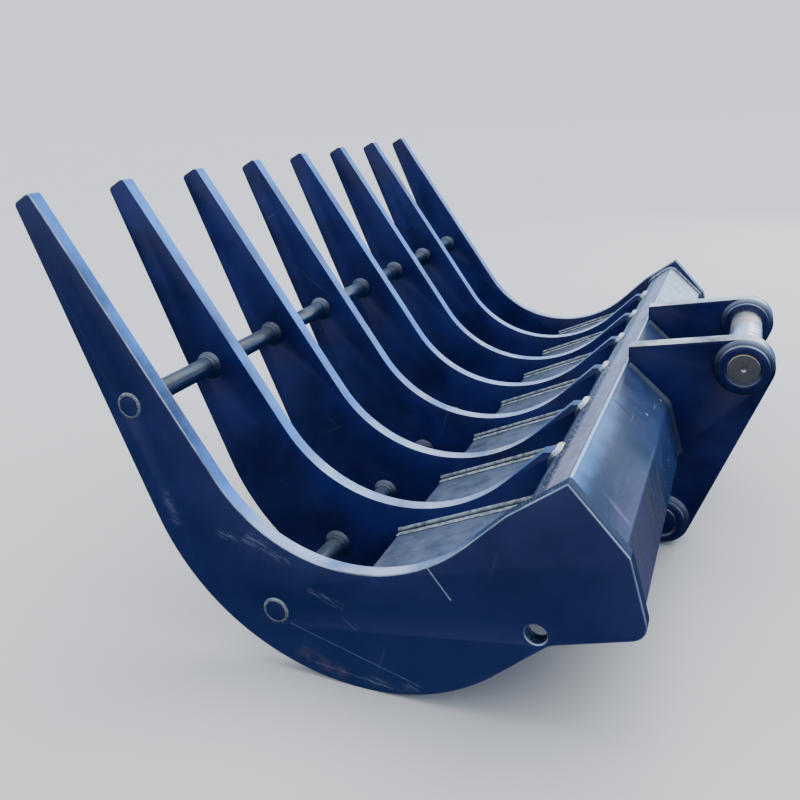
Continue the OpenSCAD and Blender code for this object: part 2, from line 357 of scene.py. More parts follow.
tree, given, out = new_group("hair_scratches", [("Amount", NUMBER)], ["Mask"])
spot = object_place(tree)
patch = patches(spot, PATCH_EDGE, scale=5.0, detail=3.0)
lines = None
for turn, scale in SCRATCH_WAYS:
    streak = patches(stretched(spot, scale, turn), SCRATCH_EDGE)
    lines = streak if lines is None else maths("MAXIMUM", lines, streak)
tree.links.new(times(lines, patch, given["Amount"]), out["Mask"])
print("hair_scratches nodes:", len(tree.nodes))

# %% The skin of sprayed paint, with the odd grain under it
PEEL_SCALE = 260.0
GRAIN_SCALE = 45.0
TONE_SCALE = 7.0

tree, given, out = new_group(
    "paint_skin", [("Peel", NUMBER), ("Grain", NUMBER)], ["Height", "Tone"])
spot = object_place(tree)
peel = times(speckle(spot, PEEL_SCALE), given["Peel"])
grain = times(speckle(spot, GRAIN_SCALE, detail=6.0, rough=0.7), given["Grain"])
tree.links.new(plus(peel, grain), out["Height"])
tree.links.new(speckle(spot, TONE_SCALE, detail=5.0, rough=0.6), out["Tone"])
print("paint_skin nodes:", len(tree.nodes))

# %% Round drops of weld spatter
DROP_EDGE = (0.30, 0.16)

tree, given, out = new_group("weld_spatter", [("Size", NUMBER), ("Share", NUMBER)], ["Mask"])
cell = add(tree, "ShaderNodeTexVoronoi", {"Vector": object_place(tree), "Scale": given["Size"]})
drop = ramp(cell.outputs["Distance"], *DROP_EDGE)
luck = add(tree, "ShaderNodeSeparateColor", {0: cell.outputs["Color"]}).outputs[0]
chosen = maths("LESS_THAN", luck, given["Share"])
tree.links.new(times(drop, chosen), out["Mask"])
print("weld_spatter nodes:", len(tree.nodes))

# %% [markdown]
# ## One mark on a plate
# A scuff or a scored line is a short straight stroke. Its mask is the distance of a point in the
# plate's plane from the stroke's middle line, made ragged by noise. The foot of a point on the
# line comes from the dot product, held between the stroke's two ends.

# %% A straight mark from a start to an end
NUMBER_OUTPUT = 1
SCALE_SOCKET = 3
EVEN = 0.42
MARK_GRIT_SCALE = 150.0
MARK_EDGE = (1.15, 0.35)


def vector(operation, *values, result=0):
    inputs = dict(enumerate(values))
    made = add(tree_of(*values), "ShaderNodeVectorMath", inputs, operation=operation)
    return made.outputs[result]


def dot(a, b):
    return vector("DOT_PRODUCT", a, b, result=NUMBER_OUTPUT)


tree, given, out = new_group(
    "straight_mark",
    [("Start", PLACE), ("End", PLACE), ("Half Width", NUMBER), ("Grit", NUMBER)], ["Mask"])
spot = object_place(tree)
along = vector("SUBTRACT", given["End"], given["Start"])
reach = vector("SUBTRACT", vector("MULTIPLY", spot, (1, 0, 1)), given["Start"])
share = maths("DIVIDE", dot(reach, along), dot(along, along))
share = add(tree, "ShaderNodeClamp", {0: share}).outputs[0]
foot = add(tree, "ShaderNodeVectorMath", {0: along, SCALE_SOCKET: share}, operation="SCALE")
away = vector("SUBTRACT", reach, foot.outputs[0])
gap = vector("LENGTH", away, result=NUMBER_OUTPUT)
gap = maths("DIVIDE", gap, given["Half Width"])
uneven = speckle(spot, MARK_GRIT_SCALE, detail=4.0, rough=0.7)
uneven = times(maths("SUBTRACT", uneven, EVEN), given["Grit"])
tree.links.new(ramp(plus(gap, uneven), *MARK_EDGE), out["Mask"])
print("node groups:", sorted(g.name for g in bpy.data.node_groups))

# %% [markdown]
# ## The paints
# All the steel had one sprayed coat of navy gloss. It looks nearly black on the upright faces and
# milky light blue on the cut edges that look at the sky, a sheen that is painted in here, and it is
# greyed by dust on the beam. So one recipe makes every paint: a base colour, a colour for the faces
# that look up, which is chalking on some paints and a painted sheen and highlights on others, dust,
# scratches, and a skin that breaks up the gloss.

# %% The paint recipe
DUST = (0.19, 0.20, 0.24)
DUST_FALL = {"From": -0.2, "To": 0.9, "Size": 23.0}
SCRATCH_TONE = (0.30, 0.36, 0.46)
SPATTER_TONE = (0.50, 0.56, 0.62)
TONE_RANGE = (0.30, 0.72)
SCRATCH_DEPTH = -0.5
SPATTER_HEIGHT = 1.5
SPATTER_COVER = 0.7
DULL_BY_DUST = 0.22
DULL_BY_TONE = 0.10
SKIN_BUMP = {"Strength": 0.35, "Distance": 0.0006}


def painted(name, base, chalk_and_sheen, upward, dusty, gloss, dust=DUST, scratch=0.5, peel=0.35, grain=0.3,
            spread=0.35, clouds=9.0, shine=0.5, spots=None, extra=None):
    """A painted steel. Upward says how far a face must look up to start and to take all its up
    colour.
    """
    material, tree, shader = new_material(name)
    shader.inputs["Specular IOR Level"].default_value = shine
    skin = use(tree, "paint_skin", Peel=peel, Grain=grain)
    tone = ramp(skin["Tone"], *TONE_RANGE)
    colour = blend(tone, [c * (1 - spread) for c in base], [c * (1 + spread) for c in base])
    # Faces that look up take the up colour: chalking on some paints, a painted sheen and highlights
    # on others
    chalk_and_sheen_share = use(tree, "top_dust_and_sheen", From=upward[0], To=upward[1], Size=clouds)["Mask"]
    colour = blend(chalk_and_sheen_share, colour, chalk_and_sheen)
    settled = times(use(tree, "top_dust_and_sheen", **DUST_FALL)["Mask"], dusty)
    colour = blend(settled, colour, dust)
    worn = use(tree, "hair_scratches", Amount=scratch)["Mask"]
    colour = blend(worn, colour, SCRATCH_TONE)
    height = plus(skin["Height"], times(worn, SCRATCH_DEPTH))
    if spots:
        drops = use(tree, "weld_spatter", Size=spots[0], Share=spots[1])["Mask"]
        colour = blend(times(drops, SPATTER_COVER), colour, SPATTER_TONE)
        height = plus(height, times(drops, SPATTER_HEIGHT))
    if extra:
        colour = extra(tree, colour)
    dull = plus(times(maths("MAXIMUM", settled, chalk_and_sheen_share), DULL_BY_DUST),
                times(tone, DULL_BY_TONE))
    wire(tree, shader, colour, plus(dull, gloss), height, SKIN_BUMP)
    return material


print("a paint dulls by", DULL_BY_DUST, "under dust")

# %% [markdown]
# ## Marks on the near plate
# The near end plate has had a hard life: scored lines, patches of fine scuffs and a little rust
# near its sole. Its lower part is painted lighter, a painted light against the shade that falls
# there.
# The marks are placed in the side view, in metres.

# %% Lines, scuffs and rust, and painted light low down
# Start, end, half width, grit and strength of each mark
NEAR_LINES = [
    ((-0.4481, -0.1597), (-0.4068, -0.2134), 0.0020, 1.1, 0.70),
    ((-0.7100, -0.3264), (-0.4632, -0.3944), 0.0009, 2.0, 0.42),
    ((-0.6644, -0.3966), (-0.5135, -0.4123), 0.0011, 2.0, 0.36),
]
NEAR_SCUFFS = [
    ((-0.9606, -0.1099), (-0.9358, -0.1611), 0.015, 1.6, 0.34),
    ((-0.8422, -0.1715), (-0.7754, -0.1795), 0.011, 1.6, 0.34),
    ((-0.7842, -0.1632), (-0.7120, -0.2034), 0.011, 1.6, 0.30),
    ((-0.6659, -0.2517), (-0.6067, -0.2706), 0.009, 1.2, 0.34),
    ((-0.5600, -0.4060), (-0.4750, -0.4020), 0.012, 1.6, 0.24),
    ((-0.2600, -0.2900), (-0.2050, -0.2950), 0.016, 1.6, 0.30),
]
RUST = ((-0.690, -0.380), (-0.615, -0.405), 0.019, 1.6, 0.30)
LINE_TONE = (0.25, 0.31, 0.42)
SCUFF_TONE = (0.22, 0.26, 0.34)
RUST_TONE = (0.16, 0.10, 0.11)
LOW_PAINTED_LIGHT = (0.0115, 0.0250, 0.115)
LOW_Z = (-0.26, -0.44)
SCUFF_HAIRS = {"scale": (35, 10, 330), "turn": (0, -22, 0)}
HAIR_EDGE = (0.46, 0.66)
FLAKE_EDGE = (0.35, 0.65)


def mark(tree, stroke, colour, tone, *patterns):
    """One stroke in its tone. The patterns leave only parts of it."""
    start, end, half, grit, strength = stroke
    mask = use(tree, "straight_mark", Start=(start[0], 0, start[1]), End=(end[0], 0, end[1]),
               Half_Width=half, Grit=grit)["Mask"]
    return blend(times(mask, *patterns, strength), colour, tone)


def near_marks(tree, colour):
    spot, place = here(tree)
    # The lower part is painted lighter, a painted light against the shade that falls low down
    colour = blend(ramp(place["Z"], *LOW_Z), colour, LOW_PAINTED_LIGHT)
    hairs = patches(stretched(spot, **SCUFF_HAIRS), HAIR_EDGE, detail=3.0, rough=0.6)
    flakes = patches(spot, FLAKE_EDGE, scale=60.0, detail=5.0, rough=0.7)
    for stroke in NEAR_LINES:
        colour = mark(tree, stroke, colour, LINE_TONE)
    for stroke in NEAR_SCUFFS:
        colour = mark(tree, stroke, colour, SCUFF_TONE, hairs)
    return mark(tree, RUST, colour, RUST_TONE, flakes)


print("near plate marks:", len(NEAR_LINES) + len(NEAR_SCUFFS) + 1)

# %% [markdown]
# ## Painted sky reflection and wear on the edges
# The bottom of the hollow is painted pale, a painted reflection of the sky, while the hooks
# behind it stay dark. The near plate's edge turns dark and gritty where it runs on over the beam.
# The masks are ramps along X and Z, with noise added so that no border is straight.

# %% Painted sky reflection and dark streaks along the tines' edges
HOOK_X = (-0.47, -0.37)
HOOK_RAGGED = 0.03
HOOK_COVER = 0.80
HOOK_NAVY = (0.016, 0.034, 0.105)
HOLLOW_Z = (-0.09, -0.165)
HOLLOW_REFLECTION_UP = {"From": 0.2, "To": 0.7, "Size": 9.0}
HOLLOW_REFLECTION_PATCH = (0.12, 0.48)
HOLLOW_PAINTED_REFLECTION = (0.53, 0.65, 0.90)
STREAK_SCALE = (5, 60, 5)
STREAK_EDGE = (0.64, 0.78)
STREAK_COVER = 0.5
STREAK_TONE = (0.035, 0.05, 0.09)


def sky_reflection_and_streaks(tree, colour):
    """A pale painted sky reflection on the hollow's bottom, dark streaks, and a dark hook."""
    spot, place = here(tree)
    hook = ragged_ramp(place["X"], HOOK_X, HOOK_RAGGED, spot, scale=30.0, detail=4.0)
    colour = blend(times(hook, HOOK_COVER), colour, HOOK_NAVY)
    low = ramp(place["Z"], *HOLLOW_Z)
    patch = patches(spot, HOLLOW_REFLECTION_PATCH, scale=9.0, detail=6.0, rough=0.7)
    up = use(tree, "top_dust_and_sheen", **HOLLOW_REFLECTION_UP)["Mask"]
    # A painted reflection of the sky: the bottom of the hollow is painted pale
    colour = blend(times(low, patch, up), colour, HOLLOW_PAINTED_REFLECTION)
    streak = patches(stretched(spot, STREAK_SCALE), STREAK_EDGE, detail=4.0, rough=0.7)
    return blend(times(streak, STREAK_COVER), colour, STREAK_TONE)


print("rubbed pale below", HOLLOW_Z[1])

# %% The near plate's edge over the beam
CROWN_X = (-0.40, -0.33)
CROWN_NAVY = (0.008, 0.022, 0.075)
CROWN_GRIT_X = (-0.215, -0.245)
CROWN_GRIT_EDGE = (0.54, 0.70)
CROWN_GRIT_COVER = 0.8
CROWN_GRIT_TONE = (0.36, 0.44, 0.54)


def dark_crown(tree, colour):
    """The near plate's edge: painted sky reflection on its arm, dark and gritty over the beam."""
    colour = sky_reflection_and_streaks(tree, colour)
    spot, place = here(tree)
    crown = ramp(place["X"], *CROWN_X)
    colour = blend(crown, colour, CROWN_NAVY)
    grit = patches(spot, CROWN_GRIT_EDGE, scale=240.0, detail=4.0, rough=0.7)
    gritty = times(crown, ramp(place["X"], *CROWN_GRIT_X), grit, CROWN_GRIT_COVER)
    return blend(gritty, colour, CROWN_GRIT_TONE)


print("dark from", CROWN_X[1])

# %% [markdown]
# ## Shades of the beam
# The beam's plates are one coat of paint under different dirt, with painted light and shade. The
# flat strip on top is lilac with dust, and weld grit and painted shade lie along its front bend.
# Behind the ridge the near bay is blue with a painted sky-blue sheen, the far bay is painted pale
# with the sky's reflection, and a painted highlight runs along the ridge. The direction that a face
# looks in tells the faces apart. Each step below adds dirt, painted light or painted shade, and the
# same steps serve both plates.

# %% Lilac dust on the strip
# How far along X a face looks where a mask starts and where it is full
STRIP_WAY = (-0.08, -0.28)
STRIP_CLOUD = (0.25, 0.65)
LEAST_LILAC, MORE_LILAC = 0.55, 0.45
LILAC_DUST = (0.27, 0.28, 0.41)


def strip_dust(tree, colour):
    cloud = patches(object_place(tree), STRIP_CLOUD, scale=26.0, detail=6.0, rough=0.7)
    cover = plus(times(cloud, MORE_LILAC), LEAST_LILAC)
    strip = ramp(facing_way(tree)["X"], *STRIP_WAY)
    return blend(times(strip, cover), colour, LILAC_DUST)


print("lilac covers at least", LEAST_LILAC)

# %% Weld grit and painted shade along the front bend
FRONT_WAY = (-0.61, -0.70)
FRONT_SHADE_COVER = 0.85
FRONT_PAINTED_SHADE = (0.006, 0.016, 0.060)
GRIT_X = (-0.252, -0.262)
GRIT_RAGGED = 0.030
GRIT_GRAINS = {"scale": (150, 90, 420), "turn": (0, 20, 0)}
GRAIN_EDGE = (0.50, 0.64)
BEND_PAINTED_SHADE = (0.010, 0.018, 0.050)
GRIT_TONE = (0.26, 0.32, 0.42)


def front_grit_and_shade(tree, colour):
    spot, place = here(tree)
    way = facing_way(tree)["X"]
    edge = ragged_ramp(place["X"], GRIT_X, GRIT_RAGGED, spot,
                       scale=55.0, detail=5.0, rough=0.75)
    turned = ramp(way, *FRONT_WAY)
    edge = times(edge, ramp(way, *STRIP_WAY), maths("SUBTRACT", 1.0, turned))
    # Painted shade along the strip where it starts to bend down at the front
    colour = blend(edge, colour, BEND_PAINTED_SHADE)
    grains = patches(stretched(spot, **GRIT_GRAINS), GRAIN_EDGE, detail=4.0, rough=0.75)
    colour = blend(times(edge, grains), colour, GRIT_TONE)
    # Painted shade on the faces that turn forward and down
    return blend(times(turned, FRONT_SHADE_COVER), colour, FRONT_PAINTED_SHADE)


print("grit from X", GRIT_X[0], "to the front bend")

# %% A pale rub down the near bay's slope
# The rub crosses Z 0 at this Y, and its Y changes by this much for each metre down
RUB_Y, RUB_LEAN = -0.780, -0.35
RUB_HALF = (0.033, 0.016)
RUB_Z = (-0.036, -0.070)
SLOPE_WAY = (0.86, 0.78)
RUB_FOG = 0.5
RUB_COVER = 0.48
RUB_TONE = (0.24, 0.26, 0.42)


def pale_rub(tree, place, fog, colour):
    middle = plus(place["Y"], times(place["Z"], RUB_LEAN))
    away = maths("ABSOLUTE", maths("SUBTRACT", middle, RUB_Y))
    rub = ramp(plus(away, times(fog, RUB_FOG)), *RUB_HALF)
    slope = ramp(facing_way(tree)["X"], *SLOPE_WAY)
    rub = times(rub, ramp(place["Z"], *RUB_Z), slope, RUB_COVER)
    return blend(rub, colour, RUB_TONE)


print("pale rub at Y", RUB_Y)

# %% The near bay, blue and lilac with a painted sky-blue sheen below the ridge
REAR_WAY = (0.06, 0.30)
NEAR_BAY_Y = (-0.20, -0.42)
BAY_RAGGED = 0.35
FOG_STREAKS = {"scale": (60, 9, 60), "turn": (0, 44, 0)}
FOG_REACH = 0.09
LILAC_Z = (-0.004, -0.050)
LILAC_Y = (-0.46, -0.78)
REAR_BLUE = (0.009, 0.027, 0.088)
REAR_LILAC = (0.066, 0.066, 0.155)
SHEEN_Z = (-0.032, 0.001)
SHEEN_RAGGED = 0.018
SHEEN_COVER = 0.78
PAINTED_SHEEN = (0.105, 0.29, 0.70)


def near_side(tree):
    """1 in the near bay and 0 past it, with a ragged border."""
    spot, place = here(tree)
    return ragged_ramp(place["Y"], NEAR_BAY_Y, BAY_RAGGED, spot, scale=8.0, detail=5.0)


def near_bay(tree, colour):
    spot, place = here(tree)
    fog = times(speckle(stretched(spot, **FOG_STREAKS), detail=6.0, rough=0.75), FOG_REACH)
    lilac = times(ramp(plus(place["Z"], fog), *LILAC_Z), ramp(plus(place["Y"], fog), *LILAC_Y))
    milky = pale_rub(tree, place, fog, blend(lilac, REAR_BLUE, REAR_LILAC))
    bay = times(ramp(facing_way(tree)["X"], *REAR_WAY), near_side(tree))
    colour = blend(bay, colour, milky)
    # A painted sheen of the sky just below the ridge
    high = ragged_ramp(place["Z"], SHEEN_Z, SHEEN_RAGGED, spot, scale=22.0, detail=4.0)
    return blend(times(high, bay, SHEEN_COVER), colour, PAINTED_SHEEN)


print("near bay before Y", NEAR_BAY_Y[0])

# %% Grey dirt low down, the far bay's painted reflection and the ridge's painted highlight
LOWER_WAY = (0.86, 0.93)
DIRT_SCALE = (30, 30, 6)
DIRT_EDGE = (0.36, 0.62)
REAR_GREY = (0.060, 0.064, 0.098)
UPWARD_WAY = (0.50, 0.65)
FAR_BAY_Y = (0.24, 0.55)
LEAST_PALE, MORE_PALE = 0.68, 0.25
FAR_BAY_PAINTED_REFLECTION = (0.62, 0.78, 0.92)
RIDGE_Z = (-0.01215, -0.01190)
RIDGE_PAINTED_HIGHLIGHT = (0.38, 0.64, 1.0)


def far_bay(tree, colour):
    spot, place = here(tree)
    way = facing_way(tree)
    dirt = patches(stretched(spot, DIRT_SCALE), DIRT_EDGE, detail=6.0, rough=0.65)
    grey = times(ramp(way["X"], *LOWER_WAY), times(dirt, near_side(tree)))
    colour = blend(grey, colour, REAR_GREY)
    # The far bay's upper slope is painted pale, a painted reflection of the sky mottled like dust
    cover = plus(times(dirt, MORE_PALE), LEAST_PALE)
    far = times(ramp(way["Z"], *UPWARD_WAY), ramp(place["Y"], *FAR_BAY_Y),
                ramp(way["X"], *REAR_WAY), cover)
    return blend(far, colour, FAR_BAY_PAINTED_REFLECTION)


def ridge_highlight(tree, colour):
    height = split(object_place(tree))["Z"]
    # A painted highlight along the top of the ridge
    return blend(ramp(height, *RIDGE_Z), colour, RIDGE_PAINTED_HIGHLIGHT)


def beam_shades(tree, colour):
    for shade in (strip_dust, front_grit_and_shade, near_bay, far_bay, ridge_highlight):
        colour = shade(tree, colour)
    return colour


print("far bay behind Y", FAR_BAY_Y[0], "and light ridge above Z", RIDGE_Z[1])

# %% [markdown]
# ## Mix the paints
# Each kind of surface gets its own measure of the recipe. The plates' faces stay dark and glossy,
# the cut edges get a painted light-blue sheen of the sky where they look up, the ears and the
# bosses' sides a painted highlight, and the welds are paler where the coat ran thin over them.

# %% Paints of the tines, ears, bars and pins
NAVY = (0.0020, 0.0080, 0.100)
DEEP_CHALK = (0.02, 0.04, 0.12)
# The cut edges' light blue on faces that look up is a painted sheen of the sky
CUT_EDGE = {"base": (0.012, 0.028, 0.11), "chalk_and_sheen": (0.095, 0.33, 0.98), "upward": (-0.06, 0.34),
            "dusty": 0.06, "gloss": 0.30, "scratch": 0.55, "grain": 0.8, "clouds": 4.0}

tine_paint = painted("tine_paint", base=NAVY, chalk_and_sheen=DEEP_CHALK, upward=(0.6, 1.0),
                     dusty=0.05, gloss=0.30, scratch=0.18)
near_paint = painted("near_tine_paint", base=(0.0050, 0.0125, 0.090), chalk_and_sheen=DEEP_CHALK,
                     upward=(0.6, 1.0), dusty=0.05, gloss=0.34, scratch=0.35, spread=0.16,
                     extra=near_marks)
cut_paint = painted("cut_edge_paint", **CUT_EDGE, extra=sky_reflection_and_streaks)
crown_paint = painted("crown_edge_paint", **CUT_EDGE, shine=0.2, extra=dark_crown)
rubbed_paint = painted("rubbed_edge_paint", base=(0.05, 0.075, 0.15), chalk_and_sheen=(0.50, 0.60, 0.78),
                       upward=(0.0, 0.55), dusty=0.2, gloss=0.36, scratch=0.4, clouds=14.0)
# The bars' tops take brown dust, and a pale blue that is a painted highlight
bar_paint = painted("bar_paint", base=(0.0055, 0.020, 0.064), chalk_and_sheen=(0.115, 0.180, 0.270),
                    upward=(0.30, 0.92), dust=(0.16, 0.14, 0.13), dusty=0.30, gloss=0.17,
                    scratch=0.6, grain=0.7)
# The ears' near-white colour on faces that look up is a painted highlight
ear_paint = painted("ear_paint", base=(0.0010, 0.0050, 0.078), chalk_and_sheen=(0.85, 0.95, 1.0),
                    upward=(0.60, 0.90), dusty=0.03, gloss=0.30, scratch=0.15)
# The bosses' sides are painted pale where they look up, a painted highlight of their lit side
highlighted_boss_side = painted("boss_side_highlight_paint", base=(0.006, 0.018, 0.080), chalk_and_sheen=(0.34, 0.42, 0.60),
                    upward=(0.10, 0.95), dusty=0.15, gloss=0.26, scratch=0.3, grain=0.8)
print("paints:", len(bpy.data.materials))

# %% Paints of the beam and the floor plates
ridge_paint = painted("ridge_paint", base=(0.030, 0.050, 0.125), chalk_and_sheen=(0.08, 0.11, 0.22),
                      upward=(0.55, 0.95), dusty=0.25, gloss=0.30, scratch=0.5, grain=0.9,
                      shine=0.35, spots=(120.0, 0.16), extra=beam_shades)
rear_paint = painted("rear_paint", base=(0.012, 0.032, 0.110), chalk_and_sheen=(0.025, 0.05, 0.15),
                     upward=(0.45, 0.95), dusty=0.15, gloss=0.24, scratch=0.8, grain=0.5,
                     shine=0.30, spots=(70.0, 0.03), extra=beam_shades)
floor_paint = painted("floor_paint", base=(0.016, 0.034, 0.085), chalk_and_sheen=(0.080, 0.120, 0.225),
                      upward=(0.5, 0.95), dust=(0.17, 0.205, 0.30), dusty=0.65, gloss=0.32,
                      scratch=0.9, grain=1.6, clouds=30.0, shine=0.35, spots=(170.0, 0.03))
print("paints:", len(bpy.data.materials))

# %% Paints of the welds
weld_paint = painted("weld_paint", base=(0.012, 0.024, 0.055), chalk_and_sheen=(0.58, 0.68, 0.76),
                     upward=(0.20, 0.80), dust=(0.30, 0.33, 0.36), dusty=0.15, gloss=0.24,
                     scratch=0.2, grain=1.4, clouds=90.0)
dark_weld = painted("dark_weld_paint", base=(0.005, 0.015, 0.055), chalk_and_sheen=(0.25, 0.32, 0.46),
                    upward=(0.10, 0.95), dusty=0.25, gloss=0.22, scratch=0.2, grain=1.0)
ear_weld = painted("ear_weld_paint", base=(0.004, 0.013, 0.055), chalk_and_sheen=(0.09, 0.13, 0.23),
                   upward=(0.10, 0.95), dusty=0.15, gloss=0.22, scratch=0.2, grain=1.0)
bright_weld = painted("bright_weld_paint", base=(0.42, 0.50, 0.62), chalk_and_sheen=(0.92, 0.96, 1.0),
                      upward=(-0.4, 0.35), dust=(0.70, 0.75, 0.80), dusty=0.4, gloss=0.30,
                      scratch=0.2, grain=1.0)
ring_weld = painted("ring_weld_paint", base=(0.010, 0.020, 0.060), chalk_and_sheen=(0.42, 0.48, 0.56),
                    upward=(-0.75, 1.0), dust=(0.36, 0.40, 0.46), dusty=0.3, gloss=0.30,
                    scratch=0.6, grain=1.2, clouds=150.0)
print("paints:", len(bpy.data.materials))

# %% [markdown]
# ## Bare steel
# The pins are turned steel, bright where they are greased and brown where the grease has dried.
# Their ends keep the rings of the lathe. The bolts are plated, so they are paler and softer.

# %% The steels
STAIN_EDGE = (0.46, 0.68)
STEEL_BUMP = {"Strength": 0.3, "Distance": 0.0003}
LATHE_RINGS = (2, 500, 2)
DARKER = 0.8
DULL_BY_STAIN = 0.35
GRIT_HEIGHT = 0.4


def bare_steel(name, base, gloss, rings, stain, stained, metal=1.0):
    """Rings are the scale of the tool marks along X, Y and Z."""
    material, tree, shader = new_material(name)
    shader.inputs["Metallic"].default_value = metal
    spot = object_place(tree)
    cloud = patches(spot, STAIN_EDGE, scale=14.0, detail=6.0, rough=0.65)
    brown = times(cloud, stained)
    grit = speckle(spot, 90.0, detail=5.0, rough=0.7)
    colour = blend(brown, blend(grit, [c * DARKER for c in base], base), stain)
    roughness = plus(times(brown, DULL_BY_STAIN), gloss)
    tool_marks = speckle(stretched(spot, rings), detail=1.0)
    height = plus(tool_marks, times(grit, GRIT_HEIGHT))
    wire(tree, shader, colour, roughness, height, STEEL_BUMP)
    return material


pin_steel = bare_steel("turned_steel", base=(0.93, 0.95, 1.0), gloss=0.30, rings=LATHE_RINGS,
                       stain=(0.34, 0.20, 0.10), stained=0.75)
end_steel = bare_steel("pin_end_steel", base=(0.15, 0.155, 0.17), gloss=0.42, rings=(60, 60, 60),
                       stain=(0.10, 0.08, 0.07), stained=0.5, metal=0.6)
rim_steel = bare_steel("pin_rim_steel", base=(0.62, 0.62, 0.64), gloss=0.28, rings=LATHE_RINGS,
                       stain=(0.35, 0.28, 0.22), stained=0.4)
zinc = bare_steel("zinc_plate", base=(0.60, 0.60, 0.57), gloss=0.38, rings=(40, 40, 40),
                  stain=(0.34, 0.30, 0.20), stained=0.4)
print("materials:", len(bpy.data.materials))

# %% [markdown]
# ## Helpers for plates
# Each plate of the model has knife-sharp corners. A real one has an eased edge where the torch
# and the grinder went, and it catches a thin line of light. A copy of the plate is merged, its
# flat faces are joined up, and a bevel modifier eases its corners.

# %% Copy a plate and ease its edges
MERGE_DISTANCE = 0.00002
FLAT_ANGLE = math.radians(0.5)
SHARP_ANGLE = math.radians(40)
SMOOTH_ANGLE = math.radians(32)
# How much a normal runs along Y on a side face, and on an edge face
SIDE_FACE = 0.98
EDGE_FACE = 0.20
ON_FACES, ON_EDGES, ON_CORNERS = 0, 1, 2
EASE_SEGMENTS = 2


def only(obj):
    bpy.ops.object.select_all(action="DESELECT")
    obj.select_set(True)
    bpy.context.view_layer.objects.active = obj


def new_object(name, mesh):
    obj = bpy.data.objects.new(name, mesh)
    bpy.context.scene.collection.objects.link(obj)
    return obj


def open_mesh(obj):
    only(obj)
    bpy.ops.object.mode_set(mode="EDIT")
    bpy.ops.mesh.select_all(action="SELECT")


def merged_copy(node, name):
    obj = new_object(name, frame["nodes"][node].data.copy())
    open_mesh(obj)
    bpy.ops.mesh.remove_doubles(threshold=MERGE_DISTANCE)
    bpy.ops.mesh.dissolve_limited(angle_limit=FLAT_ANGLE)
    bpy.ops.object.mode_set(mode="OBJECT")
    return obj


def dressed(node, ease, faces, edge, rubbed):
    """A copy of a node, with one finish on its side faces, one on its edges, one on its corners."""
    obj = merged_copy(node, node + "_dressed")
    obj.data.materials.clear()
    for material in (faces, edge, rubbed):
        obj.data.materials.append(material)
    bevel = obj.modifiers.new("eased_edges", "BEVEL")
    bevel.width = ease
    bevel.segments = EASE_SEGMENTS
    bevel.limit_method = "ANGLE"
    bevel.angle_limit = SHARP_ANGLE
    bevel.use_clamp_overlap = True
    bevel.loop_slide = False
    bevel.material = ON_CORNERS
    only(obj)
    bpy.ops.object.modifier_apply(modifier=bevel.name)
    for face in obj.data.polygons:
        across = abs(face.normal.y)
        if face.material_index != ON_CORNERS or across < EDGE_FACE:
            face.material_index = ON_FACES if across > SIDE_FACE else ON_EDGES
    bpy.ops.object.shade_smooth_by_angle(angle=SMOOTH_ANGLE)
    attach(obj, body_of[node])
    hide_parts(node)
    return obj


print("corners sharper than", round(math.degrees(SHARP_ANGLE)), "degrees are eased")

# %% Dress the plates of the rake
TINE_EASE = 0.0022
EAR_EASE = 0.003
BEAM_EASE = 0.0015
FLOOR_EASE = 0.002

tines = sorted(n for n in frame["nodes"] if n.startswith("tine_"))
floor_plates = [n for n in frame["nodes"] if n.startswith("floor_plate_")]
beam_paints = {"ridge_plate": ridge_paint, "rear_plate": rear_paint, "bottom_plate": tine_paint}
plates = []
for node in tines:
    finish = (near_paint, crown_paint) if node == "tine_1" else (tine_paint, cut_paint)
    plates.append(dressed(node, TINE_EASE, *finish, rubbed_paint))
for node in ("ear_near", "ear_far"):
    plates.append(dressed(node, EAR_EASE, ear_paint, ear_paint, rubbed_paint))
for node, paint in beam_paints.items():
    plates.append(dressed(node, BEAM_EASE, paint, paint, paint))
for node in floor_plates:
    plates.append(dressed(node, FLOOR_EASE, floor_paint, floor_paint, rubbed_paint))
print("dressed plates:", len(plates))

# %% Dress the bars, bosses, pins and keepers
BAR_EASE = 0.0015
BOSS_EASE = 0.0025
BLOCK_EASE = 0.0015
PIN_EASE = 0.0008
FLAG_EASE = 0.0012
BOLT_EASE = 0.0008
WASHER_EASE = 0.0004
# The stick pin's end is bare in its rim, and the link pin's end was painted over
PIN_FINISHES = {
    "stick": (end_steel, pin_steel, rim_steel),
    "link": (ear_paint, pin_steel, dark_weld),
}

for node in ("upper_tie_bar", "lower_tie_bar"):
    dressed(node, BAR_EASE, near_paint, bar_paint, bar_paint)
for node in (n for n in frame["nodes"] if "_boss_" in n):
    dressed(node, BOSS_EASE, ear_paint, highlighted_boss_side, highlighted_boss_side)
for name, finish in PIN_FINISHES.items():
    dressed(name + "_keeper_block", BLOCK_EASE, ear_paint, ear_paint, ear_paint)
    dressed(name + "_pin", PIN_EASE, *finish)
    dressed(name + "_pin_flag", FLAG_EASE, ear_paint, ear_paint, rubbed_paint)
    dressed(name + "_keeper_bolt", BOLT_EASE, zinc, zinc, zinc)
    dressed(name + "_keeper_washer", WASHER_EASE, zinc, zinc, zinc)
for node in ("beam_rib_near", "beam_rib_far"):
    rib = frame["nodes"][node]
    rib.data.materials.clear()
    rib.data.materials.append(tine_paint)

# %% [markdown]
# ## Weld beads
# A bead is a row of frozen ripples, each a crescent that lags at its middle. No operator draws
# that along a path, so the rings of the bead are computed: a section between the straight fillet
# and a round one is carried along the seam, and it swells and shrinks with each ripple. Its inner
# corner is sunk a little into the plates, so that no gap shows, and its ends are closed.

# %% Sections of a bead
CAP_POINTS = 8
SUNK = 0.0004


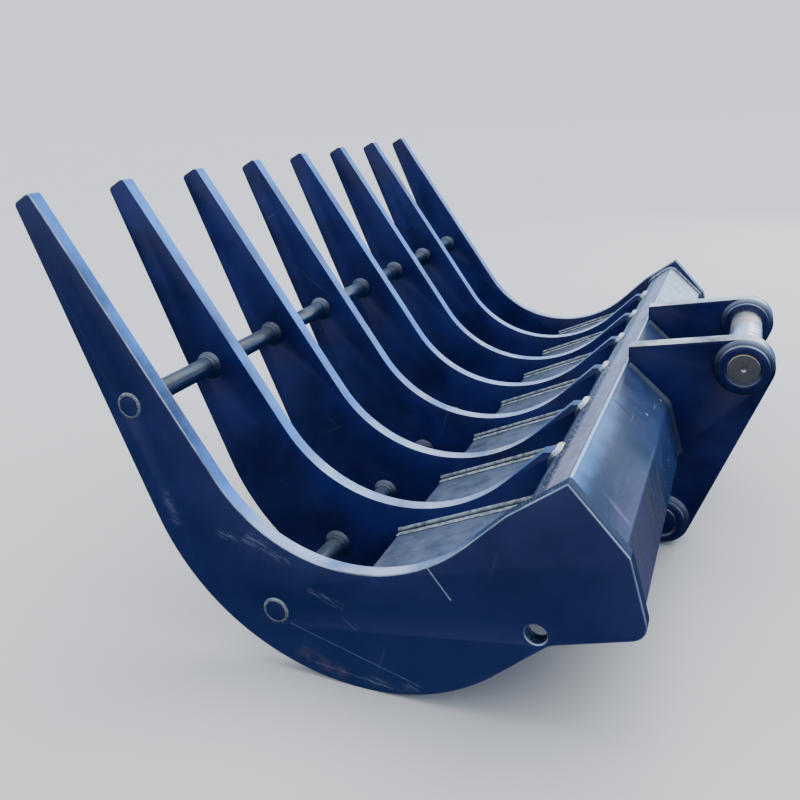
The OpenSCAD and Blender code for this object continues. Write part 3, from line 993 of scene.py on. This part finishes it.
def fillet(out_leg, side_leg, swell=0.5):
    """From the toe on the first plate to the toe on the second. Swell 0 is straight, 1 round."""
    points = []
    for k in range(CAP_POINTS):
        t = k / (CAP_POINTS - 1)
        straight = Vector((out_leg * (1 - t), side_leg * t))
        turn = t * math.pi / 2
        curved = Vector((out_leg * math.cos(turn), side_leg * math.sin(turn)))
        points.append(straight.lerp(curved, swell))
    return points, Vector((-SUNK, -SUNK))


def low_bead(width, height):
    """A bead that lies flat on one plate."""
    points = []
    for k in range(CAP_POINTS):
        turn = math.pi * k / (CAP_POINTS - 1)
        points.append(Vector((height * math.sin(turn) - SUNK / 2, width / 2 * math.cos(turn))))
    return points, Vector((-2 * SUNK, 0))


print("section points:", CAP_POINTS + 1)

# %% Carry the section along a seam
RING_STEP = 0.0015
RIPPLE = 0.0046
RIPPLE_DEPTH = 0.12
RIPPLE_MIDDLE = 0.6
# How far a ripple's middle lags behind its toes, as a share of the bead's size
LAG = 0.45
# Slow change of the bead's size, and small shifts of its ripples: amount, and rate per metre
WANDER, WANDER_RATE = 0.07, 45
JITTER, JITTER_RATE = 0.15, 90
# The toes follow only this share of the slow change
TOE_SHARE = 0.5


class Seam:
    """The places, outward ways and sideways ways along a seam."""

    def __init__(self, places, outs, sides, closed=False):
        self.places, self.outs, self.sides, self.closed = places, outs, sides, closed

    def go_on(self, place, out, side):
        self.places.append(place)
        self.outs.append(out)
        self.sides.append(side)


def rings_along(seam, section, seed):
    cap, corner = section
    size = max(p.length for p in cap)
    run = 0.0
    rings = []
    for k, (spot, out, side) in enumerate(zip(seam.places, seam.outs, seam.sides)):
        if k:
            run += (spot - seam.places[k - 1]).length
        wander = 1 + WANDER * noise.noise(Vector((run * WANDER_RATE, seed, 0)))
        ring = [spot + out * corner.x + side * corner.y]
        for j, point in enumerate(cap):
            t = j / (len(cap) - 1)
            hump = math.sin(math.pi * t)
            shift = JITTER * noise.noise(Vector((run * JITTER_RATE, t, seed)))
            phase = (run + LAG * size * hump) / RIPPLE + shift
            wave = RIPPLE_DEPTH * (abs(math.sin(math.pi * phase)) - RIPPLE_MIDDLE)
            lift = 1 + hump * wave
            lift *= wander if 0 < j < len(cap) - 1 else 1 + TOE_SHARE * (wander - 1)
            ring.append(spot + out * point.x * lift + side * point.y * lift)
        rings.append(ring)
    return rings


print("a ripple every", RIPPLE * 1000, "mm")

# %% Make one object from many beads
BEAD_SMOOTH_ANGLE = math.radians(70)


def weld_object(name, material, beads, replaces=()):
    """Each bead is a seam, a section and a seed, which sets its small changes of size."""
    verts, faces = [], []
    for seam, section, seed in beads:
        rings = rings_along(seam, section, seed)
        wide = len(rings[0])
        start = len(verts)
        for ring in rings:
            verts.extend(ring)
        last = len(rings) if seam.closed else len(rings) - 1
        for k in range(last):
            a = start + k * wide
            b = start + ((k + 1) % len(rings)) * wide
            for j in range(wide):
                faces.append((a + j, a + (j + 1) % wide, b + (j + 1) % wide, b + j))
        if not seam.closed:
            faces.append(tuple(start + j for j in range(wide)))
            faces.append(tuple(start + (len(rings) - 1) * wide + j for j in range(wide)))
    mesh = bpy.data.meshes.new(name)
    mesh.from_pydata(verts, [], faces)
    mesh.materials.append(material)
    obj = new_object(name, mesh)
    open_mesh(obj)
    bpy.ops.mesh.normals_make_consistent(inside=False)
    bpy.ops.object.mode_set(mode="OBJECT")
    bpy.ops.object.shade_smooth_by_angle(angle=BEAD_SMOOTH_ANGLE)
    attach(obj, "rake")
    if replaces:
        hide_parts(*replaces)
    print(name, "beads:", len(beads), "faces:", len(faces))
    return obj


# %% [markdown]
# ## Where the seams run
# The seams follow edges that are already in the model. A bar's axis is the middle of its box. The
# beam is convex, so its side view is the hull of its plates' points, and a seam along it is the
# stretch of that hull between two places.

# %% Read boxes and side views from the model


def node_box(node):
    solid = frame["nodes"][node]
    spots = [solid.matrix_world @ v.co for v in solid.data.vertices]
    return [Vector([pick(s[i] for s in spots) for i in range(3)]) for pick in (min, max)]


def side_middle(node):
    low, high = node_box(node)
    return (low.x + high.x) / 2, (low.z + high.z) / 2


def side_radius(node):
    low, high = node_box(node)
    return (high.x - low.x) / 2


def side_points(nodes):
    meshes = [frame["nodes"][node].data for node in nodes]
    return [Vector((v.co.x, v.co.z)) for mesh in meshes for v in mesh.vertices]


tine_spans = [(node_box(node)[0].y, node_box(node)[1].y) for node in tines]
inner_spans = list(enumerate(tine_spans))[1:-1]
near_end, far_end = tine_spans[0], tine_spans[-1]
print("tine spans:", [(round(near, 3), round(far, 3)) for near, far in tine_spans])

# %% Seams round a circle and along a line
# How many rings ahead and behind give a line's direction
LOOK = 3
LEAST_RINGS = 24


def circle_seam(centre, radius, y, side):
    """A closed seam round a bar or boss, in a plane across Y."""
    count = max(LEAST_RINGS, round(2 * math.pi * radius / RING_STEP))
    turns = [2 * math.pi * k / count for k in range(count)]
    ways = [Vector((math.cos(a), 0, math.sin(a))) for a in turns]
    places = [Vector((centre[0], y, centre[1])) + way * radius for way in ways]
    return Seam(places, ways, [Vector((0, side, 0))] * count, True)


def line_seam(points, y, side, closed=False):
    """A seam along a side-view line that runs anticlockwise round its plate."""
    count = len(points)
    outs = []
    for k in range(count):
        ahead = points[(k + LOOK) % count] if closed else points[min(k + LOOK, count - 1)]
        before = points[k - LOOK] if closed else points[max(k - LOOK, 0)]
        way = (ahead - before).normalized()
        outs.append(Vector((way.y, 0, -way.x)))
    places = [Vector((p.x, y, p.y)) for p in points]
    return Seam(places, outs, [Vector((0, side, 0))] * count, closed)


def walk(points, closed):
    """The same line, in steps of about one ring."""
    line = points + points[:1] if closed else points
    steps = []
    for a, b in zip(line, line[1:]):
        count = max(1, round((b - a).length / RING_STEP))
        steps += [a.lerp(b, k / count) for k in range(count)]
    return steps if closed else steps + [line[-1]]


print("a ring every", RING_STEP * 1000, "mm")

# %% The beam's side view
# An inner tine's hook lies past this X, and its toe is the highest point there
HOOK_FRONT_X = -0.34
# The front foot is the hull's point that is low and far forward, with this weight on forward
FORWARD_WEIGHT = 2.0

beam_points = side_points(["ridge_plate", "rear_plate", "bottom_plate"])
beam_hull = [beam_points[i] for i in geometry.convex_hull_2d(beam_points)]
area = sum(a.cross(b) for a, b in zip(beam_hull, beam_hull[1:] + beam_hull[:1]))
if area < 0:
    beam_hull.reverse()
hull_line = walk(beam_hull, True)
hook_toe = max(side_points(["tine_2"]), key=lambda p: p.y if p.x > HOOK_FRONT_X else -1)
front_foot = min(beam_hull, key=lambda p: p.y + FORWARD_WEIGHT * p.x)
ridge_top = max(beam_hull, key=lambda p: p.y)


def nearest(place):
    return min(range(len(hull_line)), key=lambda i: (hull_line[i] - Vector(place)).length)


def stretch(start, end):
    """The hull's line, anticlockwise, from near the start to near the end."""
    first, last = nearest(start), nearest(end)
    count = (last - first) % len(hull_line)
    return [hull_line[(first + k) % len(hull_line)] for k in range(count + 1)]


print("beam hull:", len(beam_hull), "hook toe:", hook_toe[:], "foot:", front_foot[:],
      "ridge:", ridge_top[:])

# %% Weld collars round the tie bars
# The collars are big fillets with a low second pass beside them. On the outside of the end
# tines each bar has only a low ring.
COLLAR = 0.0095
SECOND_PASS = low_bead(0.0075, 0.0036)
SECOND_PASS_AT = COLLAR + 0.0018
END_RING = fillet(0.0058, 0.0024, 0.8)

for name in ("upper", "lower"):
    bar = name + "_tie_bar"
    centre, radius = side_middle(bar), side_radius(bar)
    beads, end_beads = [], []
    for i, (near, far) in enumerate(tine_spans):
        for y, side in ((near, -1), (far, 1)):
            seam = circle_seam(centre, radius, y, side)
            if y in (near_end[0], far_end[1]):
                end_beads.append((seam, END_RING, i + side))
                continue
            beads.append((seam, fillet(COLLAR, COLLAR), i + side * 0.5))
            second = circle_seam(centre, radius, y + side * SECOND_PASS_AT, side)
            beads.append((second, SECOND_PASS, i + 9.5))
    weld_object(name + "_bar_beads", dark_weld, beads, [name + "_bar_collars"])
    weld_object(name + "_bar_end_beads", ring_weld, end_beads)

# %% Beads along the floor plates
# Each side has a corner bead and two flat passes beside it, this far from the tine
FLOOR_PASSES_AT = (0.0105, 0.0175)
FLOOR_BEAD = fillet(0.0095, 0.0065, 0.9)
FLOOR_PASS = low_bead(0.0062, 0.0032)
# Turns a pass's distance into a seed
PASS_SEED = 4000
# The seam starts at the top one of this many foremost points
FOREMOST = 4

floor_points = sorted(side_points(["floor_plate_1"]), key=lambda p: p.x)
floor_start = max(floor_points[:FOREMOST], key=lambda p: p.y)
floor_end = max(floor_points, key=lambda p: p.y)
floor_line = walk([floor_end, floor_start], False)
beads = []
for i in range(len(tines) - 1):
    near, far = tine_spans[i][1], tine_spans[i + 1][0]
    for y, side, seed in ((near, 1, i), (far, -1, i + 20)):
        beads.append((line_seam(floor_line, y, side), FLOOR_BEAD, seed))
        for step in FLOOR_PASSES_AT:
            flat_pass = line_seam(floor_line, y + side * step, side)
            beads.append((flat_pass, FLOOR_PASS, seed + step * PASS_SEED))
weld_object("floor_beads", weld_paint, beads, ["floor_welds"])

# %% Beads between the tines and the beam
TINE_BEAD = fillet(0.0085, 0.0085)
END_TINE_BEAD = fillet(0.008, 0.008)

beads = []
tine_line = stretch(hook_toe, front_foot)
for i, (near, far) in inner_spans:
    beads.append((line_seam(tine_line, near, -1), TINE_BEAD, i))
    beads.append((line_seam(tine_line, far, 1), TINE_BEAD, i + 30))
beads.append((line_seam(hull_line, near_end[1], 1, True), END_TINE_BEAD, 60))
beads.append((line_seam(hull_line, far_end[0], -1, True), END_TINE_BEAD, 61))
weld_object("tine_beads", weld_paint, beads)

# %% [markdown]
# ## Bright welds round the hooks
# Where each hook's toe ends on the strip, a short bead runs up one side, across the toe and down
# the other side. The paint is thin there, so the beads are the brightest spots on the beam. The
# seam is put together from two short lines and a straight run, and it turns the corners in steps.

# %% Round the toe of each hook
HOOK_BEAD = fillet(0.0085, 0.0085, 0.6)
HOOK_RUN = 0.011
TURN_STEPS = 8
TURN_OUT = 0.0005
NEARWARD, FARWARD = Vector((0, -1, 0)), Vector((0, 1, 0))

run = 0.0
for k in range(1, len(tine_line)):
    run += (tine_line[k] - tine_line[k - 1]).length
    if run > HOOK_RUN:
        break
hook_line = tine_line[:k]
toe_way = (hook_line[0] - hook_line[LOOK]).normalized()
toe_side = Vector((toe_way.x, 0, toe_way.y))


def toe_at(y):
    return Vector((hook_line[0].x, y, hook_line[0].y))


def turn_corner(seam, y, first, last):
    for k in range(1, TURN_STEPS):
        side = first.lerp(last, k / TURN_STEPS).normalized()
        seam.go_on(toe_at(y) + toe_side * TURN_OUT, seam.outs[-1], side)


def hook_seam(near, far):
    near_side, far_side = line_seam(hook_line, near, -1), line_seam(hook_line, far, 1)
    seam = Seam(near_side.places[::-1], near_side.outs[::-1], near_side.sides[::-1])
    turn_corner(seam, near, NEARWARD, toe_side)
    count = round((far - near) / RING_STEP)
    for k in range(1, count):
        seam.go_on(toe_at(near + (far - near) * k / count), seam.outs[-1], toe_side)
    turn_corner(seam, far, toe_side, FARWARD)
    for place, out, side in zip(far_side.places, far_side.outs, far_side.sides):
        seam.go_on(place, out, side)
    return seam


beads = [(hook_seam(near, far), HOOK_BEAD, i + 70) for i, (near, far) in inner_spans]
weld_object("hook_beads", bright_weld, beads)

# %% Beads round the ears
EAR_BEAD = fillet(0.008, 0.008, 0.35)
EAR_FOOT_STEP = Vector((0.008, 0))
EAR_SEAM_END_X = -0.230

beads = []
ear_line = stretch(front_foot + EAR_FOOT_STEP, Vector((EAR_SEAM_END_X, ridge_top.y)))
for node in ("ear_near", "ear_far"):
    low, high = node_box(node)
    beads.append((line_seam(ear_line, low.y, -1), EAR_BEAD, low.y))
    beads.append((line_seam(ear_line, high.y, 1), EAR_BEAD, high.y))
weld_object("ear_beads", ear_weld, beads)

# %% Beads round the bosses and keeper blocks
# The model's bosses hold their plain welds too, so their boxes don't give their radius
BOSS_RADIUS = 0.050
BLOCK_RADIUS = 0.022
BOSS_BEAD = fillet(0.0098, 0.0098, 0.6)
KEEPER_BEAD = fillet(0.006, 0.006)

beads = []
for name in ("stick", "link"):
    centre = side_middle(name + "_pin")
    for end in ("near", "far"):
        ear_low, ear_high = node_box("ear_" + end)
        for y, side in ((ear_low.y, -1), (ear_high.y, 1)):
            seam = circle_seam(centre, BOSS_RADIUS, y, side)
            beads.append((seam, BOSS_BEAD, y * 9 + centre[1]))
    centre = side_middle(name + "_keeper_block")
    seam = circle_seam(centre, BLOCK_RADIUS, node_box("ear_far")[1].y, 1)
    beads.append((seam, KEEPER_BEAD, 80))
weld_object("boss_beads", dark_weld, beads)

# %% A low bead along the ridge
RIDGE_STEP = 0.004
RIDGE_BEAD = low_bead(0.0058, 0.0008)

ridge_run = far_end[0] - near_end[1]
count = round(ridge_run / RIDGE_STEP)
steps = [near_end[1] + ridge_run * k / count for k in range(count + 1)]
places = [Vector((ridge_top.x, y, ridge_top.y)) for y in steps]
ups = [Vector((0, 0, 1))] * len(places)
forwards = [Vector((-1, 0, 0))] * len(places)
weld_object("ridge_bead", ridge_paint, [(Seam(places, ups, forwards), RIDGE_BEAD, 95)])

# %% A butt seam down the rear plate
SPLICE_Y = -0.445
SPLICE_BEAD = low_bead(0.007, 0.0011)
SPLICE_FOOT_STEP = Vector((0.02, 0))

rear_line = stretch(front_foot + SPLICE_FOOT_STEP, ridge_top)
weld_object("splice_bead", rear_paint, [(line_seam(rear_line, SPLICE_Y, 1), SPLICE_BEAD, 90)])
